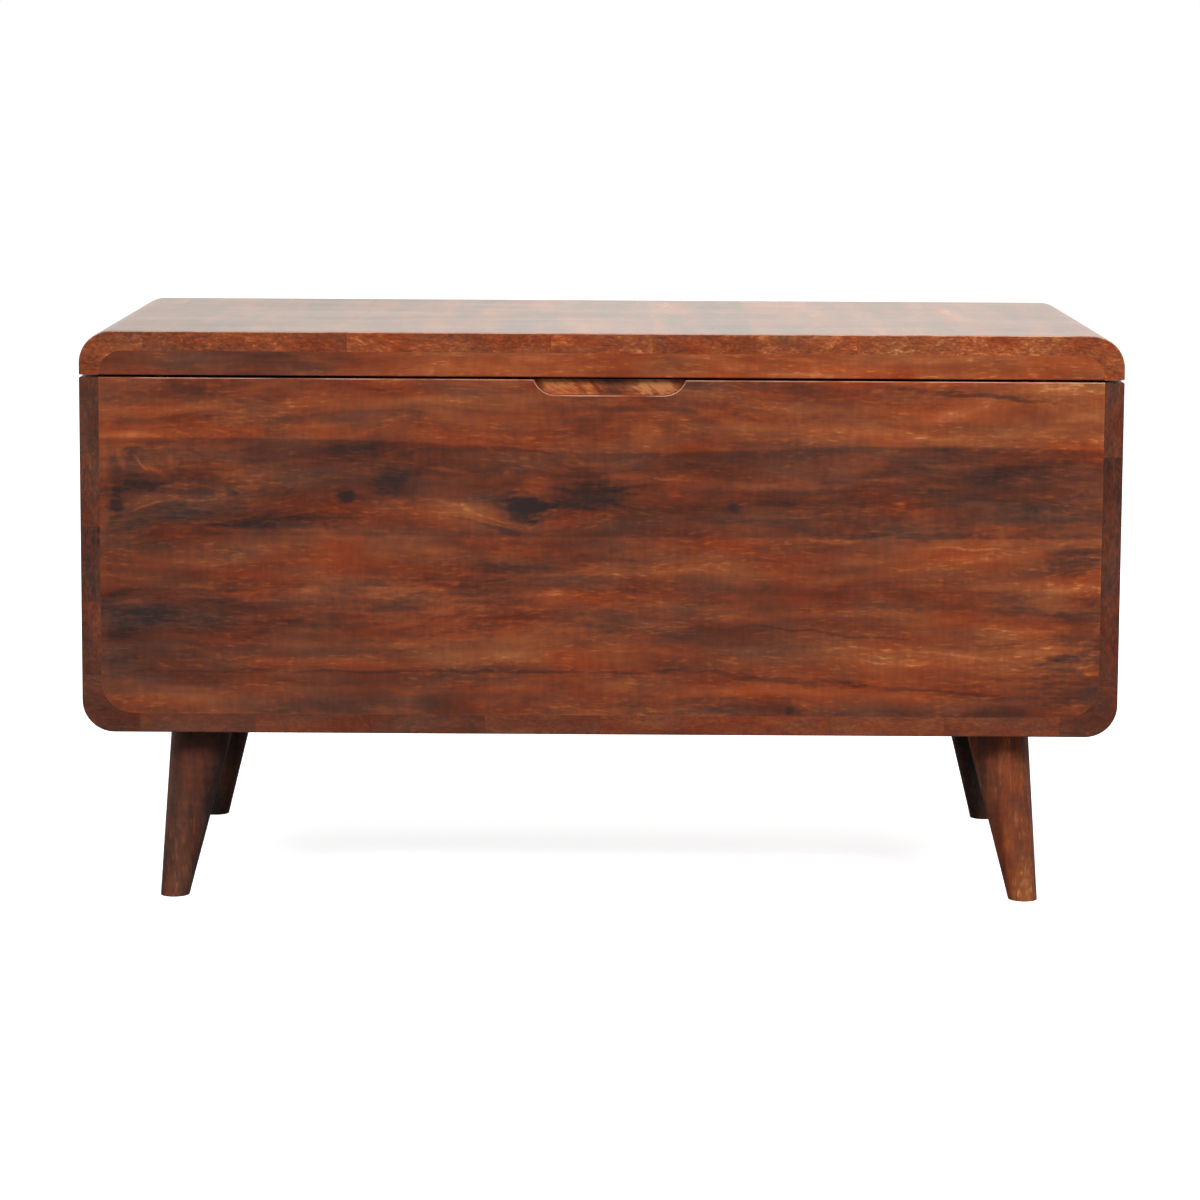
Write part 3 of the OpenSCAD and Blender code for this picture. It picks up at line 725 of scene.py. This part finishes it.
def rubber_material():
    """Matt black rubber with pale dust."""
    material, r, shader = new_material("bumper_rubber")
    dust = r.noise(r.object_place(), DUST_WAVES)
    r.feed(shader.inputs["Base Color"], r.ramp(dust, RUBBER))
    r.feed(shader.inputs["Roughness"], r.add(RUBBER_ROUGHNESS, r.swing(dust, DUST_ROUGH)))
    return material


def aim(turn, rise):
    """Direction turned from the back towards the right, and then raised."""
    return Vector((math.sin(turn) * math.cos(rise), math.cos(turn) * math.cos(rise), math.sin(rise)))


def add_camera():
    forward = aim(CAMERA_YAW, -CAMERA_PITCH)
    side = Vector((math.cos(CAMERA_YAW), -math.sin(CAMERA_YAW), 0))
    up = side.cross(forward)
    right = side * math.cos(CAMERA_ROLL) + up * math.sin(CAMERA_ROLL)
    up = up * math.cos(CAMERA_ROLL) - side * math.sin(CAMERA_ROLL)
    turn = Matrix((right, up, -forward)).transposed().to_4x4()
    data = bpy.data.cameras.new("camera")
    data.lens = CAMERA_LENS
    data.shift_y = CAMERA_SHIFT
    data.clip_end = CAMERA_SIGHT
    camera = bpy.data.objects.new("camera", data)
    camera.matrix_world = Matrix.Translation(CAMERA_PLACE) @ turn
    bpy.context.scene.collection.objects.link(camera)
    bpy.context.scene.camera = camera


def white_share(r, rear):
    """1 for rays of the camera, and for reflections in the rear of the studio, which is white."""
    path = r.node("LightPath", {}).outputs
    direct = r.math("MAXIMUM", path["Is Camera Ray"], path["Is Transmission Ray"])
    return r.math("MAXIMUM", direct, r.times(path["Is Glossy Ray"], rear))


def light_world():
    world = bpy.data.worlds.new("studio")
    world.use_nodes = True
    bpy.context.scene.world = world
    r = Recipe(world.node_tree)
    y, z = r.split(r.node("TexCoord", {}).outputs["Generated"])[1:]
    ambient = r.math("MULTIPLY_ADD", r.math("MAXIMUM", z, 0.0), AMBIENT_OVERHEAD, AMBIENT_LEVEL)
    background = world.node_tree.nodes["Background"]
    reflected = r.node("LightPath", {}).outputs["Is Glossy Ray"]
    white = white_share(r, r.step(y, *WHITE_WALL_STEP))
    r.feed(background.inputs["Color"], r.tint(WHITE, WARM_WALL, reflected))
    r.feed(background.inputs["Strength"], r.blend(ambient, 1.0, white))


def add_lamp(lamp, target):
    """Square soft lamp aimed at the chest, whose level is the brightness it gives a white surface."""
    away = aim(math.pi - math.radians(lamp.azimuth), math.radians(lamp.elevation))
    data = bpy.data.lights.new(lamp.name, "AREA")
    data.size = lamp.size
    data.energy = lamp.level * (math.pi * lamp.distance) ** 2
    light = bpy.data.objects.new(lamp.name, data)
    light.location = target + away * lamp.distance
    light.rotation_euler = away.to_track_quat("Z", "Y").to_euler()
    bpy.context.scene.collection.objects.link(light)


def floor_material():
    """Matt floor, white in the camera's sight apart from the shadow of the chest."""
    material, r, shader = new_material("floor")
    share = white_share(r, r.step(r.split(r.object_place())[1], *WHITE_FLOOR_STEP))
    albedo = r.blend(FLOOR_ALBEDO, 1.0, share)
    r.feed(shader.inputs["Base Color"], r.join(albedo, albedo, albedo))
    shader.inputs["Roughness"].default_value = 1.0
    shader.inputs["Specular IOR Level"].default_value = 0.0
    shader.inputs["Emission Color"].default_value = WHITE
    r.feed(shader.inputs["Emission Strength"], r.times(share, FLOOR_GLOW))
    return material


def add_floor():
    mesh = bpy.data.meshes.new("floor")
    reach = FLOOR_REACH
    corners = [(-reach, -reach, 0), (reach, -reach, 0), (reach, reach, 0), (-reach, reach, 0)]
    mesh.from_pydata(corners, [], [(0, 1, 2, 3)])
    mesh.materials.append(floor_material())
    floor = bpy.data.objects.new("floor", mesh)
    bpy.context.scene.collection.objects.link(floor)


# Tones of the lid's and the bottom's boards from left to right
LID_TONES = [0.55, 0.58, 0.70, 0.67, 0.66, 0.65, 0.73, 0.74, 0.74]
LID_SEED = 1
BOTTOM_TONES = [0.42, 0.40, 0.38, 0.46, 0.51, 0.58, 0.58, 0.54]
BOTTOM_SEED = 21
# Tones of the side's boards by their numbers, and of its corner blocks
Side = namedtuple("Side", "board_tones case_tone lid_tone seed")
SIDES = {
    "left": Side([0.36, 0.23, 0.32, 0.31], 0.30, 0.61, 35),
    "right": Side([0.35, 0.33, 0.29, 0.35], 0.34, 0.70, 36),
}
CASE_CORNER_SEED = 20
LID_CORNER_SEED = 30
BACK_DARKER = 0.04
BACK_SEEDS = {"upper": 5, "middle": 6, "lower": 5}
BACK_RAIL_TONE = 0.60
BACK_RAIL_SEED = 71


def board_row(name, axes, tones, seed, **finish):
    """Boards side by side, numbered from 1, each with its own seed."""
    return [Board(f"{name}_{i}", axes, tone, seed + i - 1, **finish) for i, tone in enumerate(tones, 1)]


def side_boards(name, side):
    """Boards of one side, and the corner blocks of the case and the lid there."""
    case_seed = side.seed + CASE_CORNER_SEED
    lid_seed = side.seed + LID_CORNER_SEED
    return [
        *board_row(f"{name}_side_board", "yzx", side.board_tones, side.seed,
                   figure=0.8, seam=0.1, polish=SATIN),
        Board(f"case_corner_{name}", "yxz", side.case_tone, case_seed, figure=0.7, seam=0, polish=SATIN),
        Board(f"lid_corner_{name}", "yxz", side.lid_tone, lid_seed, figure=1.0, seam=0, polish=GLOSSY),
    ]


def back_boards():
    """The back planks, and the rail of the lid over them."""
    boards = [
        Board(f"back_plank_{part}", "xzy", tone - BACK_DARKER, BACK_SEEDS[part],
              figure=1.0, seam=0.1, polish=SATIN)
        for part, tone in PLANK_TONE.items()
    ]
    rail = Board("lid_back_rail", "xzy", BACK_RAIL_TONE, BACK_RAIL_SEED, figure=1.0, seam=0, polish=SATIN)
    return boards + [rail]


def list_boards():
    """Every board apart from the front planks and the lid's front rail."""
    return [
        *board_row("lid_board", "yxz", LID_TONES, LID_SEED, figure=1.0, seam=0.08, polish=GLOSSY),
        *board_row("bottom_board", "yxz", BOTTOM_TONES, BOTTOM_SEED, figure=0.6, seam=0.12, polish=SATIN),
        *(board for name, side in SIDES.items() for board in side_boards(name, side)),
        *back_boards(),
    ]


def dress(node, material):
    """Gives a node its finish, in place of the plain colour that it was packed with."""
    slots = NODES[node].material_slots
    if not slots:
        NODES[node].data.materials.append(material)
    for slot in slots:
        slot.material = material


def dress_all():
    for part in PLANK_TONE:
        node = f"front_plank_{part}"
        dress(node, front_material(node))
    dress("lid_front_rail", rail_material())
    for board in list_boards():
        dress(board.node, board_material(board))
    for seed, (node, leg) in enumerate(LEGS.items(), 1):
        dress(node, leg_material(node, leg, seed))
    brass = metal_material("brass")
    steel = metal_material("steel")
    for node in NODES:
        if node.startswith("hinge_"):
            dress(node, brass)
        elif node.startswith("stay_") or node in ("leg_bolts", "leg_nuts"):
            dress(node, steel)
    dress("lid_bumpers", rubber_material())


bpy.context.scene.view_settings.view_transform = "Standard"
add_camera()
light_world()
chest_middle = (cad_bounds[0] + cad_bounds[1]) / 2
for lamp in LAMPS:
    add_lamp(lamp, chest_middle)
add_floor()
dress_all()
